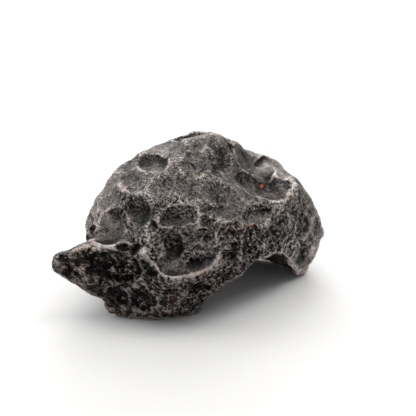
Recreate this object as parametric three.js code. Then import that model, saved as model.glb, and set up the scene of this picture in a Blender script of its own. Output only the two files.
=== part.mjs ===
// A meteorite: one lump of weathered iron, about 112 mm long, that lies on three small feet.
// Millimetres, +Z up, +X along its length. The origin is the middle of the underside of its box.
//
// The stone is one closed surface. Four blunt lumps grow together, a vault is scooped out from
// under the right half, and thumbprints are pressed in all over. The surface is where
// stoneDepth() is zero, and a ball of triangles is shrunk on to it.

import * as THREE from 'three';
import { ConvexHull } from 'three/addons/math/ConvexHull.js';
import { mergeVertices } from 'three/addons/utils/BufferGeometryUtils.js';

// Where the lumps' own frame has the middle of the footprint, which the part's frame has at 0, 0.
const FOOTPRINT_MIDDLE = { x: 1.3, y: 19.8 };

// How far a lump's edges are rounded, and how far two lumps blend where they meet.
const EDGE_ROUND = 0.5;
const LUMP_BLEND = 2;
const VAULT_BLEND = 1.2;
const EDGE_REACH = 12;
const SAME_PLANE = 0.99995;

// A thumbprint is a cap of an ellipsoid: the cap's share of its half height, and its rim's blend
// as a share of its width.
const CAP_SHARE = 0.4;
const RIM_BLEND = 0.04;
const PRINT_STEP = 2.5;
const PRINT_MARGIN = 4;

// Where the way out of the stone is steeper than this, a thumbprint's length is laid out from +Y.
const NEARLY_UPRIGHT = 0.95;
const LEAST_STEEPNESS = 1e-9;

// Two sizes of waviness bend everything a little, so no rim is a true ellipse.
const LATTICE_SHIFT = 37;
const HASH = { x: 127.1, y: 311.7, z: 74.7, seed: 53.3, scale: 43758.5453 };
const WAVES = [
  { size: 11, height: 1.3, seed: 1 },
  { size: 4.5, height: 0.6, seed: 10 },
];

// The ball that is shrunk on to the surface, and the rounds that settle it. Detail 31 cuts each
// octant's edge in 32.
const BALL = { middle: new THREE.Vector3(0, 18, 34), radius: 90, detail: 31 };
const DROP_STEPS = 40;
const DROP_PACE = 0.8;
const ROUNDS = 50;
const SLIDE = 0.7;
const LONGEST_STEP = 3;
const LAST_STEPS = 4;
const SETTLE_PROBE = 0.3;
const SOLE_SNAP = 0.002;

// ---- the lumps: the corners of each one ----

const DOME = [
  // the crest along the top, with the peak first
  [6, 16, 71], [14, 20, 66], [17.5, 24, 61], [1, 32, 66.8], [-6, 33, 65.6], [-12, 29, 64.3],
  [-17, 25, 60.5],
  // the left shoulder and the side below it
  [-30.5, 16, 58.3], [-35.8, 14, 54], [-39.5, 10, 42], [-45.8, 8, 33], [-45.5, 0, 28.5],
  // the brow
  [-36, 4, 46.5], [-29, 0, 51.5], [-19, -5, 53.5], [-4, -10, 49], [4, -12, 44.5], [18, -6, 39],
  // the prow under the brow, and the rest of the front
  [-18, -8.5, 48.3], [-17.5, -13, 43.2], [-17.2, -15.5, 37.6],
  [-39, -5, 30], [-29, -9, 33], [-20, -14, 33], [-8, -15, 31], [6, -13, 30], [4, -10, 18],
  // the far side and its foot
  [24, 39, 57], [34, 43, 50.8], [39, 45, 46.3], [30, 58, 26], [10, 60, 34], [-8, 56, 22],
  [-24, 48, 42], [-6, 50, 54], [16, 54, 52], [-40, 30, 26], [-38, 36, 12], [-42, 14, 16],
  [-27, 44, 2], [-12, 50, 2], [-18, 40, -1.6], [-20, 46, -1.4],
];

const NOSE = [
  // the blunt tip
  [-54.8, -11, 28.2], [-57.3, -11, 26], [-57.8, -11, 23.6], [-57, -10.5, 22.4],
  // the under edge, back to the foot
  [-50.5, -9, 16.4], [-43, -8, 13.5], [-38, -9, 7], [-30, -9, 4],
  // the top edge, and its root in the dome
  [-46, -2.5, 29.5], [-39, -5, 33.4], [-31, -9, 35.5], [-25, -12.5, 33.5],
  [-20, -14, 12], [-36, 4, 14], [-34, 4, 31],
];

const FRONT_FOOT = [
  // the rim of the big bowl
  [-20, -16.2, 33.3], [-15, -19, 28.2], [-12.5, -21, 25.5], [-7.5, -22, 23.5], [-1, -21, 24.6],
  [6.5, -18, 27], [10, -14, 30], [9, -10, 13],
  // the sole
  [-35.5, -8.5, -0.5], [-27, -10, -1.5], [-18, -12, -1.5], [-9, -11.5, -1.5], [-1, -7, -1], [3, -4, 0.5],
  // the sides, and the root in the dome
  [4, -8, 9], [-38.2, -8.5, 4.3], [-30, -12, 12], [-25, -14, 20],
  [-10, 2, 1], [-20, 4, 1], [-30, 2, 3], [6, 0, 28], [-20, 4, 32], [-34, 4, 18],
];

const HAUNCH = [
  // the brow's right half, up to the corner above the leg
  [18, -6, 39], [30, 4, 37], [39, 15, 42], [43, 24, 46.2],
  // the right end and the tip of the leg
  [49.6, 31, 37.6], [55.2, 35.5, 29.3], [58.8, 36, 19], [52.2, 36, 6.5], [48.8, 33, -1.5], [46, 36, -1.5],
  // the lower edge of the front, along the arch
  [9, -14, 30], [6, -17, 26], [8, -10, 13], [20, -5, 17], [31, 4, 20.5], [36, 10, 17.5],
  // the far side, and the root in the dome
  [43, 52, 35], [46, 54, 22], [44, 50, 3], [30, 58, 26], [39, 45, 46.3], [34, 43, 50.5], [20, 52, 2.5],
  [10, 30, 50], [24, 20, 52], [0, 0, 20],
];

// The vault under the haunch. It is open to the front and the right, and its ceiling comes down
// almost to the ground at the back.
const VAULT = [
  // the arch's edge, from the front foot to the leg
  [8, -8, -6], [8, -9, 4], [9, -10, 12.5], [30.5, 3, 21.8], [33.5, 5.5, 22.6], [37, 9, 20.2],
  [41, 14, 14], [44, 20, 7], [45.5, 27, -6],
  // its mouth
  [9, -24, -6], [9, -24, 6], [13, -24, 11], [22, -18, 15.5], [31, -8, 21.3], [33.5, -5, 22.2],
  [36.5, -2, 19.8], [41, 4, 13.5], [44, 8, 6.5], [48, 14, 2], [50, 14, -6],
  // the inside of the leg, the ceiling, and the low way out to the back
  [31.5, 21, 14], [34.5, 23, 13.4], [37, 25, 12], [40.8, 28, 7.5], [43.4, 32, 1.5], [43.5, 34, -6],
  [-6, 20, -6], [-4, 30, 8], [12, 26, 12], [24, 28, 13],
  [10, 54, -6], [14, 54, -2], [30, 54, -2], [38, 50, -6],
];

// ---- the thumbprints: x, y, z near the surface, then length, width, depth and turn in degrees ----

const FRONT_PRINTS = [
  [-5, -15, 33, 24, 18, 4.5, 20],   // the big bowl over the front foot
  [-9, -14, 33, 12, 16, 8, 0],      // its two deeper ends
  [-0.5, -16, 27.5, 17, 8, 5.2, 12],
  [-6, -11, 43.5, 17, 11, 4.2, -10], // its upper lobe, under the brow
  [4, -14, 31, 11, 13, 1.4, 0],
  [6, -12, 41, 9, 9, 1.4, 0],
  [-19, -18, 25, 12, 11, 2.2, 0],   // the dark hollow at the nose's root
  [-36, -13, 25, 26, 15, 1.2, -15], // the nose's long cheek
  [-51, -11, 27, 6, 5, 0.6, 0],
  [-21, -15, 11, 14, 12, 1.7, 0],   // four above the sole
  [-9, -18, 13, 12, 11, 1.4, 0],
  [2, -15, 15, 9, 11, 2.4, 60],
  [-31, -13, 11, 10, 12, 1.2, 0],
  [-33, -3, 39, 15, 14, 1.8, 0],    // the left side, over the nose
  [-43, 1, 34, 5, 5, 1.4, 0],
  [-22, -7, 45, 13, 15, 1.5, 60],
  [-30, -11, 32, 7, 4, 1, -20],
];

const TOP_PRINTS = [
  [-17, 9, 60, 19, 10, 2.3, -8],    // the long one on the shoulder
  [-26, 14, 59, 18, 14, 1, 20],
  [-26, 3, 54, 17, 13, 1.4, 0],
  [-35, 5, 47, 12, 11, 1, 0],
  [0, 4, 61, 13, 14, 1.6, 0],       // the front of the peak
  [9, 5, 58, 7, 6, 0.8, 0],
  [7, 13, 67, 9, 12, 0.9, 0],
  [11, 11, 61, 10, 12, 1, 0],
  [15, 18, 63, 5, 5, 1, 0],
  [-3, 22, 67, 17, 10, 4.2, 0],     // the dish on the crest
  [-14, 17, 64, 17, 14, 0.9, 0],
  [-13, -5, 54, 14, 12, 1.1, -15],  // the long slope over the brow
  [-2, -4, 54, 14, 12, 1.2, -15],
  [7, -4, 51, 15, 12, 1.4, -20],
  [8, -8, 46, 17, 12, 1.6, -20],
  [24, 1, 40, 17, 13, 2.2, 5],
  [29, 17, 49, 26, 16, 4.2, -5],    // the right bowl
  [24, 25, 57, 20, 18, 1, -30],     // beyond the ridge
  [34, 30, 51, 16, 14, 1, -30],
];

const RIGHT_PRINTS = [
  [23, -2, 30, 14, 15, 1.8, 0],
  [14, -9, 29, 11, 11, 1.1, 0],
  [13, -10, 36, 10, 10, 1, 0],
  [34, 8, 29, 16, 14, 1.2, 0],
  [46, 23, 26, 14, 10, 1.6, 60],    // two down the leg
  [47, 25, 13, 11, 11, 1.3, 60],
  [51, 35, 32, 14, 12, 0.6, 60],
];

const FAR_PRINTS = [
  [13, 51, 54, 24, 20, 2.6, 20],
  [-1, 47, 57, 20, 17, 2.2, -30],
  [-18, 41, 52, 26, 20, 3.2, 10],
  [-25, 27, 55, 19, 16, 2, 50],
  [-6, 35, 64, 18, 15, 1.8, 0],
  [10, 34, 64, 16, 13, 1.6, 0],
  [41, 50, 40, 18, 16, 1.6, 30],
  [22, 58, 36, 22, 17, 2.6, -20],
  [-1, 56, 37, 19, 18, 2.2, 0],
  [-16, 51, 39, 22, 17, 2.6, 40],
  [-30, 39, 38, 21, 18, 2.8, -15],
  [-37, 23, 41, 17, 15, 1.8, 30],
  [-45, 10, 28, 16, 13, 1.6, 0],
  [-31, 38, 6, 17, 14, 1.6, 0],
  [-17, 50, 9, 18, 14, 1.8, 30],
  [-3, 53, 11, 15, 12, 1.4, 0],
  [-30, 21, 10, 15, 12, 1.2, 0],
  [10, 56, 20, 16, 12, 1.6, 0],
  [-13, 53, 20, 18, 13, 1.8, 20],
  [-31, 42, 18, 17, 13, 1.8, -20],
  [-41, 26, 15, 16, 12, 1.6, 0],
  [-16, 20, 1, 40, 34, 5, 0],       // the belly, between the front foot and the far one
];

// ---- depth functions: below zero inside, in millimetres ----

const PROBE_SIDES = [
  new THREE.Vector3(1, -1, -1),
  new THREE.Vector3(-1, -1, 1),
  new THREE.Vector3(-1, 1, -1),
  new THREE.Vector3(1, 1, 1),
];

function smoothMax(a, b, blend) {
  const share = THREE.MathUtils.clamp(0.5 + (a - b) / (2 * blend), 0, 1);
  return THREE.MathUtils.lerp(b, a, share) + blend * share * (1 - share);
}

function smoothMin(a, b, blend) {
  return -smoothMax(-a, -b, blend);
}

// A lump's faces, as the flat planes of the hull round its corners.
function lumpPlanes(corners) {
  const hull = new ConvexHull().setFromPoints(corners.map((corner) => new THREE.Vector3(...corner)));
  const planes = [];
  for (const { normal, constant } of hull.faces) {
    const repeated = planes.some((plane) => plane.normal.dot(normal) > SAME_PLANE);
    if (!repeated) planes.push({ normal: normal.clone(), offset: constant + EDGE_ROUND });
  }
  return planes;
}

// The depth under the nearest plane, with the edges between planes rounded off.
function lumpDepth(point, planes) {
  let nearest = -Infinity;
  for (const { normal, offset } of planes) nearest = Math.max(nearest, normal.dot(point) - offset);
  let crowd = 0;
  for (const { normal, offset } of planes) {
    const behind = nearest - normal.dot(point) + offset;
    if (behind < EDGE_REACH) crowd += Math.exp(-behind / EDGE_ROUND);
  }
  return nearest + EDGE_ROUND * Math.log(crowd);
}

const lumps = [DOME, NOSE, FRONT_FOOT, HAUNCH].map(lumpPlanes);
const vault = lumpPlanes(VAULT);

// The stone with no thumbprints.
function bareDepth(point) {
  let depth = lumpDepth(point, lumps[0]);
  for (const planes of lumps.slice(1)) depth = smoothMin(depth, lumpDepth(point, planes), LUMP_BLEND);
  return smoothMax(depth, -lumpDepth(point, vault), VAULT_BLEND);
}

// The way out of the stone at a point, from four probes round it.
function wayOut(depth, point, step) {
  const out = new THREE.Vector3();
  for (const side of PROBE_SIDES) {
    const probe = point.clone().addScaledVector(side, step);
    out.addScaledVector(side, depth(probe));
  }
  return out.normalize();
}

// A thumbprint's own axes: along its length, across it, and out of the stone. A turn of 0 lays
// the length level, and a positive turn lifts its right-hand end.
function makePrint([x, y, z, length, width, depth, turn]) {
  const place = new THREE.Vector3(x, y, z);
  const out = wayOut(bareDepth, place, PRINT_STEP);
  place.addScaledVector(out, -bareDepth(place));
  const upright = new THREE.Vector3(0, 0, 1);
  if (Math.abs(out.z) > NEARLY_UPRIGHT) upright.set(0, 1, 0);
  const along = upright.cross(out).normalize().applyAxisAngle(out, THREE.MathUtils.degToRad(turn));
  const rim = Math.sqrt(2 * CAP_SHARE - CAP_SHARE ** 2);
  const height = depth / CAP_SHARE;
  const halves = new THREE.Vector3(length / 2 / rim, width / 2 / rim, height);
  return {
    middle: place.addScaledVector(out, height - depth),
    along,
    across: out.clone().cross(along),
    out,
    halves,
    reach: Math.max(halves.x, halves.y, halves.z) + RIM_BLEND * width + PRINT_MARGIN,
    blend: RIM_BLEND * width,
  };
}

// The distance from a thumbprint's ellipsoid, near enough: below zero inside it.
function printDepth(point, print) {
  const offset = point.clone().sub(print.middle);
  if (offset.length() > print.reach) return offset.length();
  const axes = [print.along, print.across, print.out];
  const local = new THREE.Vector3(...axes.map((axis) => offset.dot(axis)));
  const size = local.divide(print.halves).length();
  const steepness = local.divide(print.halves).length();
  return (size * (size - 1)) / Math.max(steepness, LEAST_STEEPNESS);
}

const prints = [...FRONT_PRINTS, ...TOP_PRINTS, ...RIGHT_PRINTS, ...FAR_PRINTS].map(makePrint);

// A number from -1 to 1 for each corner of a lattice, the same on every run.
function latticeValue(x, y, z, seed) {
  const wave = Math.sin(x * HASH.x + y * HASH.y + z * HASH.z + seed * HASH.seed) * HASH.scale;
  return 2 * (wave - Math.floor(wave)) - 1;
}

function smoothNoise(point, size, seed) {
  const x = point.x / size + LATTICE_SHIFT;
  const y = point.y / size + LATTICE_SHIFT;
  const z = point.z / size + LATTICE_SHIFT;
  const [ix, iy, iz] = [Math.floor(x), Math.floor(y), Math.floor(z)];
  const [fx, fy, fz] = [x - ix, y - iy, z - iz].map((part) => THREE.MathUtils.smootherstep(part, 0, 1));
  let sum = 0;
  for (let corner = 0; corner < 8; corner++) {
    const [dx, dy, dz] = [corner & 1, (corner >> 1) & 1, corner >> 2];
    const weight = (dx ? fx : 1 - fx) * (dy ? fy : 1 - fy) * (dz ? fz : 1 - fz);
    sum += weight * latticeValue(ix + dx, iy + dy, iz + dz, seed);
  }
  return sum;
}

function bent(point) {
  const result = point.clone();
  for (const { size, height, seed } of WAVES) {
    result.x += height * smoothNoise(point, size, seed);
    result.y += height * smoothNoise(point, size, seed + 1);
    result.z += height * smoothNoise(point, size, seed + 2);
  }
  return result;
}

// The whole stone, cut off flat where it would reach below the ground.
function stoneDepth(point) {
  const place = bent(point);
  let depth = bareDepth(place);
  for (const print of prints) depth = smoothMax(depth, -printDepth(place, print), print.blend);
  return Math.max(depth, -point.z);
}

// ---- the surface: a ball of triangles, shrunk on to the stone ----

function startingBall() {
  const ball = new THREE.OctahedronGeometry(BALL.radius, BALL.detail);
  ball.deleteAttribute('normal');
  ball.deleteAttribute('uv');
  return mergeVertices(ball);
}

// Brings a corner of the ball straight in until it meets the stone.
function dropOnto(point) {
  const inward = point.clone().normalize().negate();
  point.add(BALL.middle);
  for (let i = 0; i < DROP_STEPS; i++) point.addScaledVector(inward, DROP_PACE * stoneDepth(point));
}

// Each corner slides along the surface towards the middle of the triangles round it, the large
// ones counting most, which evens the triangles out and leaves the sharp tips where they are.
function evenOut(points, triangles) {
  const sums = points.map(() => new THREE.Vector3());
  const outs = points.map(() => new THREE.Vector3());
  const areas = new Float64Array(points.length);
  const triangle = new THREE.Triangle();
  const middle = new THREE.Vector3();
  const normal = new THREE.Vector3();
  for (const corners of triangles) {
    triangle.set(...corners.map((corner) => points[corner]));
    const area = triangle.getArea();
    triangle.getMidpoint(middle);
    triangle.getNormal(normal);
    for (const corner of corners) {
      sums[corner].addScaledVector(middle, area);
      outs[corner].addScaledVector(normal, area);
      areas[corner] += area;
    }
  }
  points.forEach((point, i) => {
    const slide = sums[i].divideScalar(areas[i]).sub(point).projectOnPlane(outs[i].normalize());
    point.addScaledVector(slide, SLIDE);
  });
}

// Moves a point on to the stone's surface.
function settle(point, steps) {
  for (let i = 0; i < steps; i++) {
    const step = THREE.MathUtils.clamp(stoneDepth(point), -LONGEST_STEP, LONGEST_STEP);
    point.addScaledVector(wayOut(stoneDepth, point, SETTLE_PROBE), -step);
  }
  if (Math.abs(point.z) < SOLE_SNAP) point.z = 0;
}

function stoneGeometry() {
  const geometry = startingBall();
  const positions = geometry.getAttribute('position');
  const points = [];
  for (let i = 0; i < positions.count; i++) {
    points.push(new THREE.Vector3().fromBufferAttribute(positions, i));
  }
  const triangles = [];
  for (let i = 0; i < geometry.index.count; i += 3) {
    triangles.push([...geometry.index.array.slice(i, i + 3)]);
  }

  points.forEach(dropOnto);
  for (let round = 0; round < ROUNDS; round++) {
    evenOut(points, triangles);
    points.forEach((point) => settle(point, 1));
  }
  points.forEach((point) => settle(point, LAST_STEPS));
  geometry.setFromPoints(points);
  geometry.translate(-FOOTPRINT_MIDDLE.x, -FOOTPRINT_MIDDLE.y, 0);
  geometry.computeVertexNormals();
  return geometry;
}

const iron = new THREE.MeshStandardMaterial({ color: 0x3a3633, roughness: 0.55, metalness: 0.6 });
const meteorite = new THREE.Mesh(stoneGeometry(), iron);
meteorite.name = 'meteorite';

const part = new THREE.Group();
part.add(meteorite);

export default part;
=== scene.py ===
"""A weathered iron meteorite on a pale table.

The stone is one surface: four blunt lumps grown together, a vault scooped out under the right
half, thumbprints pressed in all over, and a crust of pits and veins. A ball of fine triangles is
shrunk on to the lumps, the crust is raised on it, and one node material colours it.
"""

import itertools
import math

import bpy
import numpy as np
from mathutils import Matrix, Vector


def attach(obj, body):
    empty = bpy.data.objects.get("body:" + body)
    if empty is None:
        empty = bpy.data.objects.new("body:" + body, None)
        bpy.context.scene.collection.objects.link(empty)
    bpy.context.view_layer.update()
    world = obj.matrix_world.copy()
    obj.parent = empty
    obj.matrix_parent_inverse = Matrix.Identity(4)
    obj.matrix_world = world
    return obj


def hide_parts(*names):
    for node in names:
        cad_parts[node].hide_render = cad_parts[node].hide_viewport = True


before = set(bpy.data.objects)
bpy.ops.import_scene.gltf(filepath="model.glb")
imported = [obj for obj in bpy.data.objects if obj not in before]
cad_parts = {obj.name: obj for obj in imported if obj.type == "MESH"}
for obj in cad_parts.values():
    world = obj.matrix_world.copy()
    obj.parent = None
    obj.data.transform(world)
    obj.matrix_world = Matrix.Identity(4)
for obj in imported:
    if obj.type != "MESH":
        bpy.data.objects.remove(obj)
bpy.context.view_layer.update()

# Shapes are in millimetres, in the lumps' own frame, which has the middle of the footprint here.
MILLIMETRE = 0.001
FOOTPRINT_MIDDLE = np.array((1.3, 19.8, 0.0))

# How far a lump's edges are rounded, and how far two lumps blend where they meet.
EDGE_ROUND = 0.5
LUMP_BLEND = 2.0
VAULT_BLEND = 1.2
SAME_PLANE = 0.99995
FLAT_ENOUGH = 1e-6

# A thumbprint is a cap of an ellipsoid: the cap's share of its half height, and its rim's blend
# as a share of its width.
CAP_SHARE = 0.4
RIM_BLEND = 0.04
PRINT_STEP = 2.5
PRINT_MARGIN = 4.0
STEEP = 0.95

# Two sizes of waviness bend everything a little, so no rim is a true ellipse: size, height, seed.
WAVES = [(11.0, 1.3, 1), (4.5, 0.6, 10)]
LATTICE_SHIFT = 37.0

# The ball that is shrunk on to the surface, and the rounds that settle each fineness of it.
BALL_MIDDLE = np.array((0.0, 18.0, 34.0))
BALL_RADIUS = 90.0
COARSE = 39
DROP_STEPS = 40
DROP_PACE = 0.8
SLIDE = 0.7
LONGEST_STEP = 3.0
SETTLE_PROBE = 0.3
COARSE_ROUNDS = 50
FINE_ROUNDS = 8

# ---- the lumps: the corners of each one ----

DOME = [
    # the crest along the top, with the peak first
    (6, 16, 71), (14, 20, 66), (17.5, 24, 61), (1, 32, 66.8), (-6, 33, 65.6), (-12, 29, 64.3),
    (-17, 25, 60.5),
    # the left shoulder and the side below it
    (-30.5, 16, 58.3), (-35.8, 14, 54), (-39.5, 10, 42), (-45.8, 8, 33), (-45.5, 0, 28.5),
    # the brow
    (-36, 4, 46.5), (-29, 0, 51.5), (-19, -5, 53.5), (-4, -10, 49), (4, -12, 44.5), (18, -6, 39),
    # the prow under the brow, and the rest of the front
    (-18, -8.5, 48.3), (-17.5, -13, 43.2), (-17.2, -15.5, 37.6),
    (-39, -5, 30), (-29, -9, 33), (-20, -14, 33), (-8, -15, 31), (6, -13, 30), (4, -10, 18),
    # the far side and its foot
    (24, 39, 57), (34, 43, 50.8), (39, 45, 46.3), (30, 58, 26), (10, 60, 34), (-8, 56, 22),
    (-24, 48, 42), (-6, 50, 54), (16, 54, 52), (-40, 30, 26), (-38, 36, 12), (-42, 14, 16),
    (-27, 44, 2), (-12, 50, 2), (-18, 40, -1.6), (-20, 46, -1.4),
]

NOSE = [
    # the blunt tip
    (-54.8, -11, 28.2), (-57.3, -11, 26), (-57.8, -11, 23.6), (-57, -10.5, 22.4),
    # the under edge, back to the foot
    (-50.5, -9, 16.4), (-43, -8, 13.5), (-38, -9, 7), (-30, -9, 4),
    # the top edge, and its root in the dome
    (-46, -2.5, 29.5), (-39, -5, 33.4), (-31, -9, 35.5), (-25, -12.5, 33.5),
    (-20, -14, 12), (-36, 4, 14), (-34, 4, 31),
]

FRONT_FOOT = [
    # the rim of the big bowl
    (-20, -16.2, 33.3), (-15, -19, 28.2), (-12.5, -21, 25.5), (-7.5, -22, 23.5), (-1, -21, 24.6),
    (6.5, -18, 27), (10, -14, 30), (9, -10, 13),
    # the sole
    (-35.5, -8.5, -0.5), (-27, -10, -1.5), (-18, -12, -1.5), (-9, -11.5, -1.5), (-1, -7, -1),
    (3, -4, 0.5),
    # the sides, and the root in the dome
    (4, -8, 9), (-38.2, -8.5, 4.3), (-30, -12, 12), (-25, -14, 20),
    (-10, 2, 1), (-20, 4, 1), (-30, 2, 3), (6, 0, 28), (-20, 4, 32), (-34, 4, 18),
]

HAUNCH = [
    # the brow's right half, up to the corner above the leg
    (18, -6, 39), (30, 4, 37), (39, 15, 42), (43, 24, 46.2),
    # the right end and the tip of the leg
    (49.6, 31, 37.6), (55.2, 35.5, 29.3), (58.8, 36, 19), (52.2, 36, 6.5), (48.8, 33, -1.5),
    (46, 36, -1.5),
    # the lower edge of the front, along the arch
    (9, -14, 30), (6, -17, 26), (8, -10, 13), (20, -5, 17), (31, 4, 20.5), (36, 10, 17.5),
    # the far side, and the root in the dome
    (43, 52, 35), (46, 54, 22), (44, 50, 3), (30, 58, 26), (39, 45, 46.3), (34, 43, 50.5),
    (20, 52, 2.5), (10, 30, 50), (24, 20, 52), (0, 0, 20),
]

# The vault under the haunch. It is open to the front, the right and the back.
VAULT = [
    # the arch's edge, from the front foot to the leg
    (8, -8, -6), (8, -9, 4), (9, -10, 12.5), (30.5, 3, 21.8), (33.5, 5.5, 22.6), (37, 9, 20.2),
    (41, 14, 14), (44, 20, 7), (45.5, 27, -6),
    # its mouth
    (9, -24, -6), (9, -24, 6), (13, -24, 11), (22, -18, 15.5), (31, -8, 21.3), (33.5, -5, 22.2),
    (36.5, -2, 19.8), (41, 4, 13.5), (44, 8, 6.5), (48, 14, 2), (50, 14, -6),
    # the inside of the leg, the ceiling, and the low way out to the back
    (31.5, 21, 14), (34.5, 23, 13.4), (37, 25, 12), (40.8, 28, 7.5), (43.4, 32, 1.5),
    (43.5, 34, -6), (-6, 20, -6), (-4, 30, 8), (12, 26, 12), (24, 28, 13),
    (10, 54, -6), (14, 54, -2), (30, 54, -2), (38, 50, -6),
]

# ---- the thumbprints: x, y, z near the surface, then length, width, depth and turn in degrees ----

FRONT_PRINTS = [
    (-5, -15, 33, 24, 18, 4.5, 20),   # the big bowl over the front foot
    (-9, -14, 33, 12, 16, 8, 0),      # its two deeper ends
    (-0.5, -16, 27.5, 17, 8, 5.2, 12),
    (-6, -11, 43.5, 17, 11, 4.2, -10), # its upper lobe, under the brow
    (4, -14, 31, 11, 13, 1.4, 0),
    (6, -12, 41, 9, 9, 1.4, 0),
    (-19, -18, 25, 12, 11, 2.2, 0),   # the dark hollow at the nose's root
    (-36, -13, 25, 26, 15, 1.2, -15), # the nose's long cheek
    (-51, -11, 27, 6, 5, 0.6, 0),
    (-21, -15, 11, 14, 12, 1.7, 0),   # four above the sole
    (-9, -18, 13, 12, 11, 1.4, 0),
    (2, -15, 15, 9, 11, 2.4, 60),
    (-31, -13, 11, 10, 12, 1.2, 0),
    (-33, -3, 39, 15, 14, 1.8, 0),    # the left side, over the nose
    (-43, 1, 34, 5, 5, 1.4, 0),
    (-22, -7, 45, 13, 15, 1.5, 60),
    (-30, -11, 32, 7, 4, 1, -20),
]

TOP_PRINTS = [
    (-17, 9, 60, 19, 10, 2.3, -8),    # the long one on the shoulder
    (-26, 14, 59, 18, 14, 1, 20),
    (-26, 3, 54, 17, 13, 1.4, 0),
    (-35, 5, 47, 12, 11, 1, 0),
    (0, 4, 61, 13, 14, 1.6, 0),       # the front of the peak
    (9, 5, 58, 7, 6, 0.8, 0),
    (7, 13, 67, 9, 12, 0.9, 0),
    (11, 11, 61, 10, 12, 1, 0),
    (15, 18, 63, 5, 5, 1, 0),
    (-3, 22, 67, 17, 10, 4.2, 0),     # the dish on the crest
    (-14, 17, 64, 17, 14, 0.9, 0),
    (-13, -5, 54, 14, 12, 1.1, -15),  # the long slope over the brow
    (-2, -4, 54, 14, 12, 1.2, -15),
    (7, -4, 51, 15, 12, 1.4, -20),
    (8, -8, 46, 17, 12, 1.6, -20),
    (24, 1, 40, 17, 13, 2.2, 5),
    (29, 17, 49, 26, 16, 4.2, -5),    # the right bowl
    (24, 25, 57, 20, 18, 1, -30),     # beyond the ridge
    (34, 30, 51, 16, 14, 1, -30),
]

RIGHT_PRINTS = [
    (23, -2, 30, 14, 15, 1.8, 0),
    (14, -9, 29, 11, 11, 1.1, 0),
    (13, -10, 36, 10, 10, 1, 0),
    (34, 8, 29, 16, 14, 1.2, 0),
    (46, 23, 26, 14, 10, 1.6, 60),    # two down the leg
    (47, 25, 13, 11, 11, 1.3, 60),
    (51, 35, 32, 14, 12, 0.6, 60),
]

FAR_PRINTS = [
    (13, 51, 54, 24, 20, 2.6, 20),
    (-1, 47, 57, 20, 17, 2.2, -30),
    (-18, 41, 52, 26, 20, 3.2, 10),
    (-25, 27, 55, 19, 16, 2, 50),
    (-6, 35, 64, 18, 15, 1.8, 0),
    (10, 34, 64, 16, 13, 1.6, 0),
    (41, 50, 40, 18, 16, 1.6, 30),
    (22, 58, 36, 22, 17, 2.6, -20),
    (-1, 56, 37, 19, 18, 2.2, 0),
    (-16, 51, 39, 22, 17, 2.6, 40),
    (-30, 39, 38, 21, 18, 2.8, -15),
    (-37, 23, 41, 17, 15, 1.8, 30),
    (-45, 10, 28, 16, 13, 1.6, 0),
    (-31, 38, 6, 17, 14, 1.6, 0),
    (-17, 50, 9, 18, 14, 1.8, 30),
    (-3, 53, 11, 15, 12, 1.4, 0),
    (-30, 21, 10, 15, 12, 1.2, 0),
    (10, 56, 20, 16, 12, 1.6, 0),
    (-13, 53, 20, 18, 13, 1.8, 20),
    (-31, 42, 18, 17, 13, 1.8, -20),
    (-41, 26, 15, 16, 12, 1.6, 0),
    (-16, 20, 1, 40, 34, 5, 0),       # the belly, between the front foot and the far one
]

# Small holes and slots that are finer than the thumbprints.
SMALL_PRINTS = [
    (-35, -4, 36.6, 6, 2.2, 1, 25),      # on the left side
    (-16, -14, 40.6, 7, 11, 1.3, 0),     # the left wall of the big bowl
    (-5, -14, 40.2, 9, 3.5, 1.4, -10),   # under its upper lobe
    (-9, -17, 12, 7, 5, 0.8, 10),        # low on the front foot
    (-21, -15, 11, 6, 5, 0.6, 0),
    (-26, -15, 17, 6, 4, 0.7, -30),
    (2, -15, 15.3, 6, 6, 2.2, 0),
    (13.4, -10.5, 30.5, 5, 4, 0.8, 0),   # under the brow
    (12, -10, 35.3, 5, 4, 1, 0),
    (23, -3, 29.4, 6, 4.5, 1.6, 20),
    (28.5, 2.3, 29.5, 5, 4, 0.9, 0),
    (15.4, 18, 63, 3, 2.4, 1.2, 0),      # beside the peak
    (9, 5.3, 58.3, 8, 5, 0.8, 20),
    (31, 16.5, 47.4, 6, 1.6, 0.9, -10),  # in the right bowl
    (29, 19, 47, 4.5, 1.4, 0.8, 15),
    (46.5, 22, 27, 6, 8, 1.2, 60),       # down the leg
    (47, 24, 13.7, 4, 5, 1, 60),
]


# ---- the stone's depth: below zero inside, in millimetres ----


def smooth_max(a, b, blend):
    share = np.clip(0.5 + (a - b) / (2 * blend), 0, 1)
    return b + (a - b) * share + blend * share * (1 - share)


def smooth_min(a, b, blend):
    return -smooth_max(-a, -b, blend)


def lump_planes(corners):
    """A lump's faces, as the flat planes of the hull round its corners: normals and offsets."""
    corners = np.array(corners, float)
    first, second, third = np.array(list(itertools.combinations(range(len(corners)), 3))).T
    normals = np.cross(corners[second] - corners[first], corners[third] - corners[first])
    lengths = np.linalg.norm(normals, axis=1)
    real = lengths > FLAT_ENOUGH
    normals = normals[real] / lengths[real, None]
    heights = normals @ corners.T - np.einsum("ij,ij->i", normals, corners[first[real]])[:, None]
    outward = heights.max(1) < FLAT_ENOUGH
    inward = heights.min(1) > -FLAT_ENOUGH
    found = np.concatenate([normals[outward], -normals[inward]])
    kept = []
    for normal in found:
        if all(normal @ other < SAME_PLANE for other in kept):
            kept.append(normal)
    kept = np.array(kept)
    return kept, (kept @ corners.T).max(1) + EDGE_ROUND


def lump_depth(points, planes):
    """The depth under the nearest plane, with the edges between planes rounded off."""
    normals, offsets = planes
    depths = points @ normals.T - offsets
    nearest = depths.max(1)
    crowd = np.exp((depths - nearest[:, None]) / EDGE_ROUND).sum(1)
    return nearest + EDGE_ROUND * np.log(crowd)


lumps = [lump_planes(corners) for corners in (DOME, NOSE, FRONT_FOOT, HAUNCH)]
vault = lump_planes(VAULT)


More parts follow.
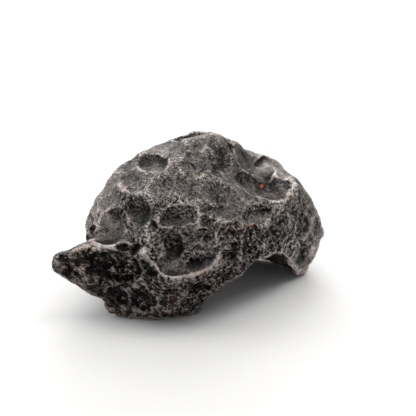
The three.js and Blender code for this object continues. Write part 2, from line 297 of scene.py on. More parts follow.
def bare_depth(points):
    """The stone with no thumbprints."""
    depth = lump_depth(points, lumps[0])
    for planes in lumps[1:]:
        depth = smooth_min(depth, lump_depth(points, planes), LUMP_BLEND)
    return smooth_max(depth, -lump_depth(points, vault), VAULT_BLEND)


def way_out(depth, points, step):
    """The way out of the stone at each point, from four probes round it."""
    sides = np.array(((1, -1, -1), (-1, -1, 1), (-1, 1, -1), (1, 1, 1)), float)
    out = sum(side * depth(points + side * step)[:, None] for side in sides)
    return out / np.linalg.norm(out, axis=1)[:, None]


def make_print(row):
    """A thumbprint's middle and axes: along its length, across it, and out of the stone. A turn of
    0 lays the length level, and a positive turn lifts its right-hand end."""
    length, width, depth, turn = row[3:]
    place = np.array([row[:3]], float)
    out = way_out(bare_depth, place, PRINT_STEP)[0]
    place = place[0] - out * bare_depth(place)
    upright = (0, 0, 1) if abs(out[2]) < STEEP else (0, 1, 0)
    level = np.cross(upright, out)
    level /= np.linalg.norm(level)
    angle = math.radians(turn)
    along = level * math.cos(angle) + np.cross(out, level) * math.sin(angle)
    rim = math.sqrt(2 * CAP_SHARE - CAP_SHARE**2)
    height = depth / CAP_SHARE
    halves = np.array((length / 2 / rim, width / 2 / rim, height))
    return {
        "middle": place + out * (height - depth),
        "axes": np.array((along, np.cross(out, along), out)),
        "halves": halves,
        "reach": halves.max() + RIM_BLEND * width + PRINT_MARGIN,
        "blend": RIM_BLEND * width,
    }


def press_print(depth, points, mark):
    """Presses one thumbprint into the depths, where the points are near it."""
    offsets = points - mark["middle"]
    near = np.flatnonzero(np.einsum("ij,ij->i", offsets, offsets) < mark["reach"] ** 2)
    local = offsets[near] @ mark["axes"].T / mark["halves"]
    size = np.linalg.norm(local, axis=1)
    steepness = np.linalg.norm(local / mark["halves"], axis=1)
    inside = size * (size - 1) / np.maximum(steepness, FLAT_ENOUGH)
    depth[near] = smooth_max(depth[near], -inside, mark["blend"])


ALL_PRINTS = FRONT_PRINTS + TOP_PRINTS + RIGHT_PRINTS + FAR_PRINTS + SMALL_PRINTS
prints = [make_print(row) for row in ALL_PRINTS]

# The hash behind the noise: how much each axis, the seed and the wave itself count.
HASH_AXES = np.array((127.1, 311.7, 74.7))
HASH_SEED = 53.3
HASH_HEIGHT = 43758.5453


def lattice_value(corners, seed):
    """A number from -1 to 1 for each corner of a lattice, the same on every run."""
    wave = np.sin(corners @ HASH_AXES + seed * HASH_SEED) * HASH_HEIGHT
    return 2 * (wave - np.floor(wave)) - 1


def smooth_noise(points, size, seed):
    """Noise from -1 to 1 whose bumps are about that size."""
    places = points / size + LATTICE_SHIFT
    corners = np.floor(places)
    parts = places - corners
    parts = parts**3 * (parts * (parts * 6 - 15) + 10)
    total = np.zeros(len(points))
    for step in itertools.product((0, 1), repeat=3):
        weights = np.where(step, parts, 1 - parts).prod(axis=1)
        total += weights * lattice_value(corners + step, seed)
    return total


def bent(points):
    result = points.copy()
    for size, height, seed in WAVES:
        for axis in range(3):
            result[:, axis] += height * smooth_noise(points, size, seed + axis)
    return result


def stone_depth(points):
    """The whole stone, cut off flat where it would reach below the ground."""
    places = bent(points)
    depth = bare_depth(places)
    for mark in prints:
        press_print(depth, places, mark)
    return np.maximum(depth, -points[:, 2])


# ---- the surface: a ball of triangles, shrunk on to the stone ----


def fold(count):
    """The corner numbers of a square net with 2 x count steps a side, whose border is folded
    shut: each side's two halves meet, and the four corners are one point."""
    side = 2 * count + 1
    numbers = np.arange(side * side).reshape(side, side)
    for border in (numbers[0], numbers[-1], numbers[:, 0], numbers[:, -1]):
        border[:] = np.minimum(border, border[::-1])
    numbers[0, -1] = numbers[-1, 0] = numbers[-1, -1] = 0
    firsts, folded = np.unique(numbers, return_inverse=True)
    return firsts, folded.reshape(side, side)


def net_triangles(folded):
    """Two triangles for each square of the net, cut along the octahedron's edges, and the net's
    own row and column of each of their corners."""
    count = len(folded) // 2
    rows, columns = np.meshgrid(range(2 * count), range(2 * count), indexing="ij")
    rows, columns = rows.ravel(), columns.ravel()
    slanted = (rows < count) == (columns < count)
    low_left, low_right = (rows, columns), (rows, columns + 1)
    high_left, high_right = (rows + 1, columns), (rows + 1, columns + 1)
    halves = [
        (slanted, (low_left, low_right, high_left)),
        (slanted, (low_right, high_right, high_left)),
        (~slanted, (low_left, low_right, high_right)),
        (~slanted, (low_left, high_right, high_left)),
    ]
    places = [
        np.stack([np.stack([row[which], column[which]], 1) for row, column in corners], 1)
        for which, corners in halves
    ]
    places = np.concatenate(places)
    return folded[places[:, :, 0], places[:, :, 1]], places


def starting_ball(count):
    """The net's corners on a ball: the middle of the square is the top, its corners the bottom."""
    steps = np.linspace(-1, 1, 2 * count + 1)
    down, across = np.meshgrid(steps, steps, indexing="ij")
    height = 1 - abs(across) - abs(down)
    x = np.where(height < 0, np.copysign(1 - abs(down), across), across)
    y = np.where(height < 0, np.copysign(1 - abs(across), down), down)
    ball = np.stack([x, y, height], axis=2).reshape(-1, 3)
    return ball / np.linalg.norm(ball, axis=1)[:, None]


def drop(directions):
    """Brings each corner of the ball straight in until it meets the stone."""
    points = BALL_MIDDLE + BALL_RADIUS * directions
    for _ in range(DROP_STEPS):
        points -= directions * (DROP_PACE * stone_depth(points))[:, None]
    return points


def sum_at_corners(values, triangles, count):
    """Adds up what each triangle holds at its three corners."""
    corners = triangles.ravel()
    return np.stack([np.bincount(corners, np.repeat(column, 3), count) for column in values.T], 1)


def middles_and_normals(points, triangles):
    """For each point, the middle of the triangles round it, the large ones counting most, and
    the way out."""
    a, b, c = (points[triangles[:, k]] for k in range(3))
    crosses = np.cross(b - a, c - a)
    areas = np.linalg.norm(crosses, axis=1)[:, None]
    held = np.concatenate([(a + b + c) / 3 * areas, crosses, areas], axis=1)
    sums = sum_at_corners(held, triangles, len(points))
    normals = sums[:, 3:6] / np.linalg.norm(sums[:, 3:6], axis=1)[:, None]
    return sums[:, :3] / sums[:, 6:], normals


def even_out(points, triangles):
    """Slides each point along the surface towards the middle of its triangles."""
    middles, normals = middles_and_normals(points, triangles)
    slides = middles - points
    slides -= normals * np.einsum("ij,ij->i", slides, normals)[:, None]
    return points + SLIDE * slides, normals


def settle(points, outs):
    steps = np.clip(stone_depth(points), -LONGEST_STEP, LONGEST_STEP)
    return points - outs * steps[:, None]


def finer(points, folded):
    """The points of a net with half the step, from the coarser net's."""
    net = points[folded]
    side = len(net)
    fine = np.zeros((2 * side - 1, 2 * side - 1, 3))
    fine[::2, ::2] = net
    fine[1::2, ::2] = (net[1:] + net[:-1]) / 2
    fine[::2, 1::2] = (net[:, 1:] + net[:, :-1]) / 2
    count = side // 2
    rows, columns = np.indices((side - 1, side - 1))
    slanted = ((rows < count) == (columns < count))[:, :, None]
    across = (net[:-1, 1:] + net[1:, :-1]) / 2
    along = (net[:-1, :-1] + net[1:, 1:]) / 2
    fine[1::2, 1::2] = np.where(slanted, across, along)
    return fine


def shrink_wrap(doublings):
    """The stone's points and triangles, and the place of each triangle's corners in the net."""
    count = COARSE
    firsts, folded = fold(count)
    triangles, places = net_triangles(folded)
    points = drop(starting_ball(count)[firsts])
    for _ in range(COARSE_ROUNDS):
        points, _ = even_out(points, triangles)
        points = settle(points, way_out(stone_depth, points, SETTLE_PROBE))
    for _ in range(doublings):
        net = finer(points, folded).reshape(-1, 3)
        count *= 2
        firsts, folded = fold(count)
        triangles, places = net_triangles(folded)
        points = net[firsts]
        for _ in range(FINE_ROUNDS):
            points, normals = even_out(points, triangles)
            points = settle(points, normals)
    return points, triangles, places / (2 * count)


# ---- the crust: pits, veins and grain, raised on the settled surface ----

# Noise seeds. The noise of three axes uses a seed and the two after it.
FACING_SEED = 30
LOW_SEED = 31
DARK_SEED = 33
STIR_SEED = 40
FINE_SEED = 80
PATCHY_SEED = 90
CREST_SEED = 94
BROKEN_SEED = 98

# How far a spot may lie from the middle of its box, as a share of the box.
JITTER = 0.45

# Shallow dents that meet in sharp ridges: the spacing, the depth, and a seed.
CRUST_DENTS = ((7, 1.3, 44), (3.6, 0.8, 46))

# Pits: the spacing, the depth, the radius as a share of the spacing, and a seed.
CRUST_PITS = ((3.6, 0.6, 0.44, 50), (2.1, 0.5, 0.52, 60), (1.45, 0.35, 0.55, 70))

# Veins: the spacing, the height, and a seed.
CRUST_VEINS = ((3.1, 0.22, 84), (1.7, 0.16, 86))

# The fine grain on everything: the size and the height.
FINE_SIZE = 1.3
FINE_HEIGHT = 0.1


def smooth_step(low, high, values):
    share = np.clip((values - low) / (high - low), 0, 1)
    return share * share * (3 - 2 * share)


def cells(points, size, seed):
    """Scatters one spot in each box of a lattice. Gives the distance to the nearest spot, in box
    sizes, and a number from -1 to 1 that the spot holds."""
    places = points / size + LATTICE_SHIFT
    corners = np.floor(places)
    nearest = np.full(len(points), math.inf)
    held = np.zeros(len(points))
    for step in itertools.product((-1, 0, 1), repeat=3):
        box = corners + step
        jitter = np.stack([lattice_value(box, seed + axis) for axis in range(3)], 1)
        away = np.linalg.norm(box + 0.5 + JITTER * jitter - places, axis=1)
        closer = away < nearest
        held = np.where(closer, lattice_value(box, seed + 3), held)
        nearest = np.where(closer, away, nearest)
    return nearest, held


def stir(points, size, seed):
    """A noise vector for each point, for bending the edges of zones."""
    return np.stack([smooth_noise(points, size, seed + axis) for axis in range(3)], 1)


# Where each zone starts and where it is full, in millimetres.
NOSE_X = (-24, -33)
NOSE_Z = (34, 29)
LEFT_X = (-27, -35)
LEFT_Z = (29, 35)
LOW_Z = (52, 36)
LEG_X = (28, 38)
LEG_Z = (44, 36)
LEG_NOT_DARK_X = (22, 32)
LEG_CALM_X = (20, 32)
BEYOND_X = (14, 20)
BEYOND_Y = (20, 27)
BOWL_X = -3
BOWL_Z = 38
BOWL_REACH = (22, 14)

# How steep the crust is where it is rough, as the upward share of the way out.
ROUGH_FACING = (0.62, 0.2)

# How far the crust stands out on worn ridges, and how far it lies back in floors.
WORN_RIDGE = (-0.2, 0.7)
FLOOR_RIDGE = (-0.3, -1.1)


def rough_zone(points, outs):
    """1 on the rough crust low on the sides, and 0 on the smooth, worn top."""
    facing = outs[:, 2] + 0.14 * smooth_noise(points, 9, FACING_SEED)
    height = points[:, 2] + 5 * smooth_noise(points, 13, LOW_SEED)
    return smooth_step(*ROUGH_FACING, facing) * (0.35 + 0.65 * smooth_step(*LOW_Z, height))


def near(points, middle, radius):
    """1 close to a place, falling to 0 at that radius."""
    return smooth_step(radius, 0.4 * radius, np.linalg.norm(points - middle, axis=1))


def left_side(points):
    """1 on the left side, above the nose."""
    return smooth_step(*LEFT_X, points[:, 0]) * smooth_step(*LEFT_Z, points[:, 2])


def nose_zone(points):
    return smooth_step(*NOSE_X, points[:, 0])


def front_bowl(points):
    """1 in the big bowl over the front foot, with its upper lobe."""
    return smooth_step(*BOWL_REACH, np.hypot(points[:, 0] - BOWL_X, points[:, 2] - BOWL_Z))


def dark_crust_and_shade(points, rough):
    """1 where the colour is darkest, under the brow and round the front foot, and 0 elsewhere. It
    is partly dark crust and partly painted shade on the faces turned down and away from the light.
    """
    stirred = points + 4 * smooth_noise(points, 8, DARK_SEED)[:, None]
    leg = smooth_step(*LEG_NOT_DARK_X, stirred[:, 0])
    return rough * (1 - leg) * (1 - left_side(stirred)) * (1 - 0.65 * front_bowl(points))


# Crests that are worn paler than the rest, as lines over the stone, and their width.
WORN_CRESTS = [
    # the left brow
    [(-33, 4, 47.5), (-26, 3, 51), (-19, -6, 53.5), (-14, -8, 50)],
    # under the shoulder hollow
    [(-19, 8, 58), (-11, 5, 60.5), (-3, -1, 58), (4.5, -0.5, 57)],
    # round the right bowl
    [(17, 3.5, 49.5), (21.5, 4.5, 45.5), (27.5, 6.5, 43.5), (36, 12, 42)],
    [(29.5, 3.5, 37), (36, 12, 42), (42.5, 24, 46), (39, 24.5, 48)],
    [(21, 20, 54), (26.5, 28, 52), (33, 27, 50), (39, 24.5, 48)],
    # down from the peak
    [(6.5, 16.5, 70), (3, 8.5, 65.5)],
    [(6.5, 16.5, 70), (14, 20, 66), (11.5, 14, 64)],
]
CREST_WIDTH = 1.5


def to_segment(points, start, end):
    """How far each point is from the straight line between two places."""
    way = np.subtract(end, start)
    share = np.clip((points - start) @ way / (way @ way), 0, 1)
    return np.linalg.norm(points - start - share[:, None] * way, axis=1)


def worn_crests(points):
    """1 along the worn crests, broken up by noise, and 0 elsewhere."""
    stirred = points + 1.6 * stir(points, 4, CREST_SEED)
    away = np.full(len(points), math.inf)
    for crest in WORN_CRESTS:
        for start, end in itertools.pairwise(crest):
            away = np.minimum(away, to_segment(stirred, start, end))
    broken = smooth_step(-0.7, 0.2, smooth_noise(points, 3, BROKEN_SEED))
    return smooth_step(CREST_WIDTH, 0.3, away) * (0.3 + 0.7 * broken)


# Places that are paler (above 0) or darker (below 0) than the rest: middle, radius and amount.
TONE_PLACES = (
    ((24, 0, 39), 10, 0.4),        # the smooth disc on the brow
    ((-5, -11, 43), 12, 0.5),      # the upper lobe of the big bowl
    ((-56, -11, 25), 12, -0.8),    # the nose's tip
    # painted shade under the brow
    ((-17, -12, 45), 9, -0.6),     # under the brow
    ((9, 11, 65), 8, -0.4),        # the facet below the peak
    ((28, 18, 47), 14, -0.3),      # the right bowl
)
NOSE_SOOT = 0.85
# The left side and the leg are made paler as painted light.
LEFT_PALER = 0.6
LEG_PALER = 0.4
CREST_PALER = 0.9


def tone_zone(points, rough):
    """Below 0 on the sooty nose and in some hollows, with painted shade under the brow. Above 0
    where the crust is paler, with painted light on the left side and the leg.
    """
    nose = nose_zone(points) * smooth_step(*NOSE_Z, points[:, 2])
    leg = smooth_step(*LEG_X, points[:, 0]) * smooth_step(*LEG_Z, points[:, 2])
    tone = LEFT_PALER * left_side(points) + LEG_PALER * leg + rough * front_bowl(points)
    tone += CREST_PALER * worn_crests(points) - NOSE_SOOT * nose
    for middle, radius, amount in TONE_PLACES:
        tone += amount * near(points, middle, radius)
    return tone


def busy_zone(points, rough, ridge):
    """How speckled the crust is: fully on the rough crust and on crests, less in worn hollows."""
    beyond = smooth_step(*BEYOND_X, points[:, 0]) * smooth_step(*BEYOND_Y, points[:, 1])
    rough = rough * (1 - 0.5 * smooth_step(*LEG_CALM_X, points[:, 0]))
    worn = 0.22 + 0.58 * smooth_step(*WORN_RIDGE, ridge)
    floors = smooth_step(*FLOOR_RIDGE, ridge)
    calm = (1 - 0.6 * beyond) * (1 - 0.45 * floors) * (1 - 0.22 * nose_zone(points))
    return (worn + (1 - worn) * rough) * calm


def crust(points, outs):
    """The height of the crust over the settled surface, and how deep each point lies in a pit."""
    rough = rough_zone(points, outs)
    shifts = stir(points, 2.4, STIR_SEED)
    stirred = points + 0.6 * shifts
    patchy = smooth_step(-0.35, 0.3, smooth_noise(points, 6, PATCHY_SEED))
    height = np.zeros(len(points))
    pit = np.zeros(len(points))
    for size, depth, seed in CRUST_DENTS:
        nearest, held = cells(points + 1.2 * shifts, size, seed)
        height += depth * (0.6 + 0.4 * held) * (nearest**2 - 0.3) * (0.28 + 0.72 * rough)
    for size, depth, radius, seed in CRUST_PITS:
        nearest, held = cells(stirred, size, seed)
        reach = radius * (1 + 0.35 * held)
        cup = np.clip(1 - (nearest / reach)**2, 0, 1) * smooth_step(-0.6, 0.1, held)
        strength = 0.12 + 0.88 * rough * (0.4 + 0.6 * patchy)
        height -= depth * cup * strength
        pit = np.maximum(pit, cup * strength)
    for size, raised, seed in CRUST_VEINS:
        wave = np.abs(smooth_noise(stirred, size, seed))
        height += raised * smooth_step(0.3, 0.0, wave) * (0.25 + 0.75 * rough)
    height += FINE_HEIGHT * smooth_noise(points, FINE_SIZE, FINE_SEED)
    return height, pit, rough


def stood_out(points, triangles, rounds):
    """How far each point stands out from the surface smoothed by that many rounds."""
    smooth = points
    for _ in range(rounds):
        smooth, outs = middles_and_normals(smooth, triangles)
    return np.einsum("ij,ij->i", points - smooth, outs)


# The rounds of smoothing that show up the crust's edges, the rims and the broad ridges. From these
# the material paints shade into the hollows and highlight on the crests.
EDGE_ROUNDS = 4
RIM_ROUNDS = 8
RIDGE_ROUNDS = 60


def crusted_stone():
    """The finished points, their triangles and places in the net, and what the material reads."""
    doublings = 2
    points, triangles, places = shrink_wrap(doublings)
    _, outs = middles_and_normals(points, triangles)
    height, pit, rough = crust(points, outs)
    crusted = points + outs * height[:, None]
    crusted[:, 2] = np.maximum(crusted[:, 2], 0)
    ridge = stood_out(points, triangles, RIDGE_ROUNDS)
    # The material reads these for the colour. Pit, edge, rim and ridge paint shade in recesses and
    # highlight on crests, dark is partly painted shade, and tone is partly painted light and shade.
    facts = {
        "dark": dark_crust_and_shade(points, rough),
        "busy": busy_zone(points, rough, ridge),
        "pit": pit,
        "tone": tone_zone(points, rough),
        "edge": stood_out(crusted, triangles, EDGE_ROUNDS),
        "rim": stood_out(points, triangles, RIM_ROUNDS),
        "ridge": ridge,
    }
    return crusted, triangles, places, facts


def build_stone():
    points, triangles, places, facts = crusted_stone()
    mesh = bpy.data.meshes.new("meteorite_stone")
    mesh.from_pydata((points - FOOTPRINT_MIDDLE) * MILLIMETRE, [], triangles)
    net = mesh.uv_layers.new(name="OFBake")
    net.data.foreach_set("uv", places[:, :, ::-1].ravel())
    for name, values in facts.items():
        mesh.attributes.new(name, "FLOAT", "POINT").data.foreach_set("value", values)
    mesh.shade_smooth()
    mesh.update()
    stone = bpy.data.objects.new("meteorite_stone", mesh)
    bpy.context.scene.collection.objects.link(stone)
    return stone


# ---- the material ----


def add(tree, kind, values=None, **settings):
    """A node of that kind. values gives each socket a number, a colour or the output feeding it."""
    made = tree.nodes.new(kind)
    for name, value in settings.items():
        setattr(made, name, value)
    for socket, value in (values or {}).items():
        if isinstance(value, bpy.types.NodeSocket):
            tree.links.new(value, made.inputs[socket])
        else:
            made.inputs[socket].default_value = value
    return made


def attribute(tree, name):
    return add(tree, "ShaderNodeAttribute", attribute_name=name).outputs["Fac"]


def mapped(tree, value, low, high, to_low=0.0, to_high=1.0):
    """value, drawn from low..high to to_low..to_high with soft ends."""
    settings = {
        "Value": value,
        "From Min": low,
        "From Max": high,
        "To Min": to_low,
        "To Max": to_high,
    }
    return add(tree, "ShaderNodeMapRange", settings, interpolation_type="SMOOTHSTEP").outputs[0]


def noise(tree, place, size, detail=2.0, distortion=0.0):
    """Noise from 0 to 1 whose bumps are about that many millimetres."""
    settings = {"Vector": place, "Scale": 1 / size, "Detail": detail, "Distortion": distortion}
    return add(tree, "ShaderNodeTexNoise", settings).outputs["Fac"]


def blended(tree, share, low, high):
    """A colour from low to high as share goes from 0 to 1."""
    made = add(tree, "ShaderNodeMix", data_type="RGBA")
    for socket, value in ((0, share), (6, low), (7, high)):
        if isinstance(value, bpy.types.NodeSocket):
            tree.links.new(value, made.inputs[socket])
        else:
            made.inputs[socket].default_value = value
    return made.outputs[2]


def maths(tree, operation, a, b):
    return add(tree, "ShaderNodeMath", {0: a, 1: b}, operation=operation).outputs[0]


def vector_maths(tree, operation, a, b):
    return add(tree, "ShaderNodeVectorMath", {0: a, 1: b}, operation=operation)


def times(tree, value, factor):
    return maths(tree, "MULTIPLY", value, factor)


def centred(tree, value):
    return maths(tree, "SUBTRACT", value, 0.5)


def total(tree, values):
    """The sum of several values."""
    made = values[0]
    for value in values[1:]:
        made = maths(tree, "ADD", made, value)
    return made


def line(tree, value, width):
    """1 along the thin winding lines where value passes a half, falling to 0 at that width."""
    away = maths(tree, "ABSOLUTE", centred(tree, value), 0)
    return mapped(tree, away, 0.0, width, 1.0, 0.0)


# The darkest colour here is the dark crust's colour with painted shade in it, used for the darkest
# zone.
DARK_IRON_AND_SHADE = (0.116, 0.098, 0.088, 1)
GREY_IRON = (0.179, 0.159, 0.148, 1)
BLUE_IRON = (0.100, 0.107, 0.122, 1)
BROWN_IRON = (0.118, 0.092, 0.077, 1)

# How bright the crust is, from the bottom of a pit with painted shade to a worn crest with painted
# highlight, as shares of the body colour.
SHADES = ((0.0, 0.02), (0.30, 0.10), (0.42, 0.65), (0.55, 1.10), (0.68, 2.2), (0.85, 3.8))

# The textures: size in millimetres, detail and distortion.
TINT = (9, 1.0)
DASHES = (0.75, 2.0, 0.6)
EVEN_GRAIN = (0.8, 2.0, 0.8)
SWIRL = (2.8, 3.0, 2.0)
PATCHES = (5, 2.0, 0.5)
BREAKS = (5, 1.0)
CRACKS = (6.5, 1.0, 2.0)
SQUIGGLES = (3.6, 3.0, 1.5)
WEB = (2.8, 3.0, 1.0)
FINE_WEB = (1.3, 2.0, 1.0)
RUST_WOBBLE = (1.5, 2.0)

# How wide the lines of four of them are, as shares of the noise's height.
CRACK_WIDTH = 0.03
SQUIGGLE_WIDTH = 0.022
WEB_WIDTH = 0.03
FINE_WEB_WIDTH = 0.04

# What each texture adds to the speckle.
GRAIN_SPECKLE = 1.9
SWIRL_SPECKLE = 0.3
WEB_SPECKLE = 0.3
FINE_WEB_SPECKLE = 0.26
SPECKLE_SHIFT = -0.11
# The edge part is painted shade in the fine dents and painted highlight on the fine edges.
EDGE_SPECKLE = (-0.25, 0.25, -0.2, 0.2)

# What is added to the shade, which is a half on plain crust.
PLAIN_SHADE = 0.5
PATCH_SHADE = 0.22
# The pits' share is painted shade, darkening each pit by its depth.
PIT_SHADE = -0.14
TONE_SHADE = 0.15
CRACK_SHADE = -0.3
SQUIGGLE_SHADE = 0.13

# What the mesh's own facts add to it: the fact, its low and high, and what each of them adds. They
# paint shade into the dents, hollows and slots. They make the edges, rims and ridges paler, partly
# as wear and partly as painted highlight.
FACT_SHADES = (
    ("edge", -0.2, 0.2, -0.03, 0.03),
    ("rim", -0.2, 0.3, -0.11, 0.07),
    ("rim", 0.12, 0.4, 0.0, 0.05),
    ("ridge", -1.2, 1.4, -0.07, 0.03),
)

# The finest relief, as bump: how far it stands out in metres, and how much the swirl counts.
RELIEF_HEIGHT = 0.0022
SWIRL_RELIEF = 0.8

# Specks of rust, in the lumps' own frame: x, y, z, radius, strength and colour.
BRIGHT_RUST = (0.80, 0.15, 0.04, 1)
ORANGE_RUST = (0.34, 0.13, 0.055, 1)
RED_RUST = (0.20, 0.035, 0.02, 1)
RUST_SPECKS = (
    ((28, 21, 46.5), 1.3, 0.5, BRIGHT_RUST),    # in the right bowl
    ((22.5, -1, 37), 1.3, 0.8, ORANGE_RUST),    # on the brow, beside the leg
    ((-29.5, 2, 52), 2.2, 0.25, ORANGE_RUST),   # on the left shoulder
    ((-7.5, -9.5, 30), 1, 0.8, RED_RUST),       # in the big bowl
    ((-9, -16.5, 11.5), 1.8, 0.25, RED_RUST),   # low on the front foot
)

# The fine texture runs in short dashes, tilted by this angle and longer than wide by this share.
DASH_TILT_DEG = 37
DASH_LENGTH = 2.8


def in_millimetres(tree):
    """The place on the stone, in its own frame."""
    place = add(tree, "ShaderNodeTexCoord").outputs["Object"]
    return vector_maths(tree, "MULTIPLY", place, (1 / MILLIMETRE,) * 3).outputs[0]


def along_dashes(tree, place):
    settings = {
        "Vector": place,
        "Rotation": (0, math.radians(DASH_TILT_DEG), 0),
        "Scale": (DASH_LENGTH, 1, 1),
    }
    return add(tree, "ShaderNodeMapping", settings, vector_type="TEXTURE").outputs[0]


def body_colour(tree, place):
    """The iron's colour, with patches of blue and brown. Its darkest zone is partly painted shade.
    """
    tint = noise(tree, place, *TINT)
    body = blended(tree, attribute(tree, "dark"), GREY_IRON, DARK_IRON_AND_SHADE)
    body = blended(tree, mapped(tree, tint, 0.52, 0.72, 0, 0.4), body, BLUE_IRON)
    return blended(tree, mapped(tree, tint, 0.46, 0.28, 0, 0.5), body, BROWN_IRON)


def fine_grain(tree, place):
    """Dashes in the darkest zone, which is partly painted shade, and an even grain on the worn
    crust.
    """
    dashes = centred(tree, noise(tree, along_dashes(tree, place), *DASHES))
    even = centred(tree, noise(tree, place, *EVEN_GRAIN))
    share = mapped(tree, attribute(tree, "dark"), 0.15, 0.55, 0, 1)
    rest = maths(tree, "SUBTRACT", 1, share)
    return total(tree, [times(tree, dashes, share), times(tree, even, rest)])


def crust_speckle(tree, place, grain, swirl):
    """The fine mottling, mostly from -0.3 to 0.3. Its edge part is painted shade in the fine dents
    and painted highlight on the fine edges.
    """
    web = line(tree, noise(tree, place, *WEB), WEB_WIDTH)
    fine_web = line(tree, noise(tree, along_dashes(tree, place), *FINE_WEB), FINE_WEB_WIDTH)
    return total(tree, [
        times(tree, grain, GRAIN_SPECKLE),
        times(tree, swirl, SWIRL_SPECKLE),
        times(tree, web, WEB_SPECKLE),
        times(tree, fine_web, FINE_WEB_SPECKLE),
        mapped(tree, attribute(tree, "edge"), *EDGE_SPECKLE),
        SPECKLE_SHIFT,
    ])


def crust_shade(tree, place, speckle):
    """From 0 at the bottom of a pit to 1 on a worn crest. Pits and hollows are darkened with
    painted shade, and crests are lightened with painted highlight.
    """
    patch = centred(tree, noise(tree, place, *PATCHES))
    broken = mapped(tree, noise(tree, place, *BREAKS), 0.42, 0.55)
    cracks = times(tree, line(tree, noise(tree, place, *CRACKS), CRACK_WIDTH), broken)
    squiggles = line(tree, noise(tree, place, *SQUIGGLES), SQUIGGLE_WIDTH)
    parts = [
        speckle,
        times(tree, patch, PATCH_SHADE),
        times(tree, attribute(tree, "pit"), PIT_SHADE),
        times(tree, attribute(tree, "tone"), TONE_SHADE),
        times(tree, cracks, CRACK_SHADE),
        times(tree, times(tree, squiggles, broken), SQUIGGLE_SHADE),
        PLAIN_SHADE,
    ]
    for name, low, high, to_low, to_high in FACT_SHADES:
        parts.append(mapped(tree, attribute(tree, name), low, high, to_low, to_high))
    return total(tree, parts)


def shade_ramp(tree, shade):
    ramp = add(tree, "ShaderNodeValToRGB", {"Fac": shade})
    stops = ramp.color_ramp.elements
    for k, (position, gain) in enumerate(SHADES):
        stop = stops[k] if k < 2 else stops.new(position)
        stop.position = position
        stop.color = (gain, gain, gain, 1)
    return ramp.outputs["Color"]


def with_rust(tree, place, colour):
    wobble = times(tree, centred(tree, noise(tree, place, *RUST_WOBBLE)), 2.5)
    for middle, radius, strength, rust in RUST_SPECKS:
        middle = Vector(middle) - Vector(FOOTPRINT_MIDDLE)
        away = vector_maths(tree, "DISTANCE", place, middle).outputs["Value"]
        share = mapped(tree, total(tree, [away, wobble]), radius, 0.4 * radius, 0, strength)
        colour = blended(tree, share, colour, rust)
    return colour


def iron_material():
    material = bpy.data.materials.new("weathered_iron")
    material.use_nodes = True
    tree = material.node_tree
    tree.nodes.clear()
    place = in_millimetres(tree)
    busy = attribute(tree, "busy")
    grain = fine_grain(tree, place)
    swirl = centred(tree, noise(tree, place, *SWIRL))
    speckle = times(tree, crust_speckle(tree, place, grain, swirl), busy)
    shade = crust_shade(tree, place, speckle)
    body = body_colour(tree, place)
    colour = vector_maths(tree, "MULTIPLY", body, shade_ramp(tree, shade)).outputs[0]

    relief = times(tree, total(tree, [grain, times(tree, swirl, SWIRL_RELIEF)]), busy)
    bump_settings = {"Height": relief, "Strength": 1.0, "Distance": RELIEF_HEIGHT}
    bump = add(tree, "ShaderNodeBump", bump_settings)
    settings = {
        "Base Color": with_rust(tree, place, colour),
        "Roughness": mapped(tree, busy, 0.3, 1.0, 0.44, 0.62),
        "Metallic": 0.55,
        "Specular IOR Level": 0.12,
        "Normal": bump.outputs[0],
    }
    shader = add(tree, "ShaderNodeBsdfPrincipled", settings)
    add(tree, "ShaderNodeOutputMaterial", {"Surface": shader.outputs[0]})
    return material


# ---- the table, the light and the camera ----


FLOOR_HALF_WIDTH = 3.0
FLOOR_COLOUR = (0.56, 0.555, 0.55, 1)
FLOOR_ROUGHNESS = 0.75


def build_floor():
    mesh = bpy.data.meshes.new("table_top")
    half = FLOOR_HALF_WIDTH
    corners = [(-half, -half, 0), (half, -half, 0), (half, half, 0), (-half, half, 0)]
    mesh.from_pydata(corners, [], [(0, 1, 2, 3)])
    floor = bpy.data.objects.new("table_top", mesh)
    bpy.context.scene.collection.objects.link(floor)
    material = bpy.data.materials.new("pale_table")
    material.use_nodes = True
    shader = material.node_tree.nodes["Principled BSDF"]
    shader.inputs["Base Color"].default_value = FLOOR_COLOUR
    shader.inputs["Roughness"].default_value = FLOOR_ROUGHNESS
    mesh.materials.append(material)


def add_light(name, place, aim, size, power, colour):
    data = bpy.data.lights.new(name, "AREA")
    data.shape = "DISK"
    data.size = size
    data.energy = power
    data.color = colour
    light = bpy.data.objects.new(name, data)
    light.location = place
    light.rotation_euler = (Vector(aim) - Vector(place)).to_track_quat("-Z", "Y").to_euler()
    bpy.context.scene.collection.objects.link(light)


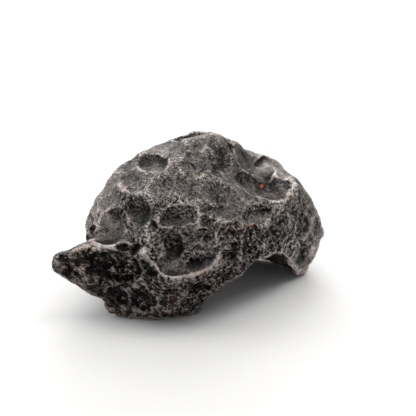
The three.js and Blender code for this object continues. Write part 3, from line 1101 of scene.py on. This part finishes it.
# The softboxes: name, place, aim, size, power and colour.
WHITE = (1, 1, 1)
WARM_WHITE = (1, 0.985, 0.96)
SOFTBOXES = (
    ("softbox_over", (0.03, 0.14, 0.75), (0, 0, 0.03), 0.9, 6.0, WARM_WHITE),
    ("softbox_behind", (0.05, 0.45, 0.40), (0, 0, 0), 0.5, 0.3, WHITE),
    ("softbox_left", (-0.6, 0.1, 0.35), (0, 0, 0.03), 0.4, 1.8, WHITE),
    ("softbox_right", (0.35, 0.02, 0.6), (0, 0, 0.03), 0.4, 1.6, WHITE),
    ("softbox_far", (0.0, 1.3, 0.8), (0, 1.0, 0), 1.2, 17.0, WHITE),
)

# The studio round the table: white to the camera, and a dimmer blue-white to the stone.
SKY_COLOUR = (0.93, 0.96, 1, 1)
SKY_STRENGTH = 0.45


def build_light():
    world = bpy.data.worlds.new("studio")
    bpy.context.scene.world = world
    world.use_nodes = True
    tree = world.node_tree
    tree.nodes.clear()
    seen = add(tree, "ShaderNodeBackground", {"Color": (1, 1, 1, 1), "Strength": 1.0})
    felt = add(tree, "ShaderNodeBackground", {"Color": SKY_COLOUR, "Strength": SKY_STRENGTH})
    by_camera = add(tree, "ShaderNodeLightPath").outputs["Is Camera Ray"]
    mix = add(tree, "ShaderNodeMixShader", {0: by_camera, 1: felt.outputs[0], 2: seen.outputs[0]})
    add(tree, "ShaderNodeOutputWorld", {"Surface": mix.outputs[0]})
    for softbox in SOFTBOXES:
        add_light(*softbox)


TARGET = Vector((3.7, -19.8, 44)) * MILLIMETRE
CAMERA_DISTANCE = 0.323
CAMERA_HEIGHT_DEG = 20
LENS = 70
SENSOR = 36
CLIP_START = 0.01


def build_camera():
    data = bpy.data.cameras.new("camera")
    data.lens = LENS
    data.sensor_width = SENSOR
    data.clip_start = CLIP_START
    camera = bpy.data.objects.new("camera", data)
    slope = math.radians(CAMERA_HEIGHT_DEG)
    back = Vector((0, -math.cos(slope), math.sin(slope)))
    camera.location = TARGET + back * CAMERA_DISTANCE
    camera.rotation_euler = (-back).to_track_quat("-Z", "Y").to_euler()
    bpy.context.scene.collection.objects.link(camera)
    bpy.context.scene.camera = camera


stone = build_stone()
stone.data.materials.append(iron_material())
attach(stone, "root")
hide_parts("meteorite")
build_floor()
build_light()
build_camera()
bpy.context.scene.view_settings.view_transform = "Standard"
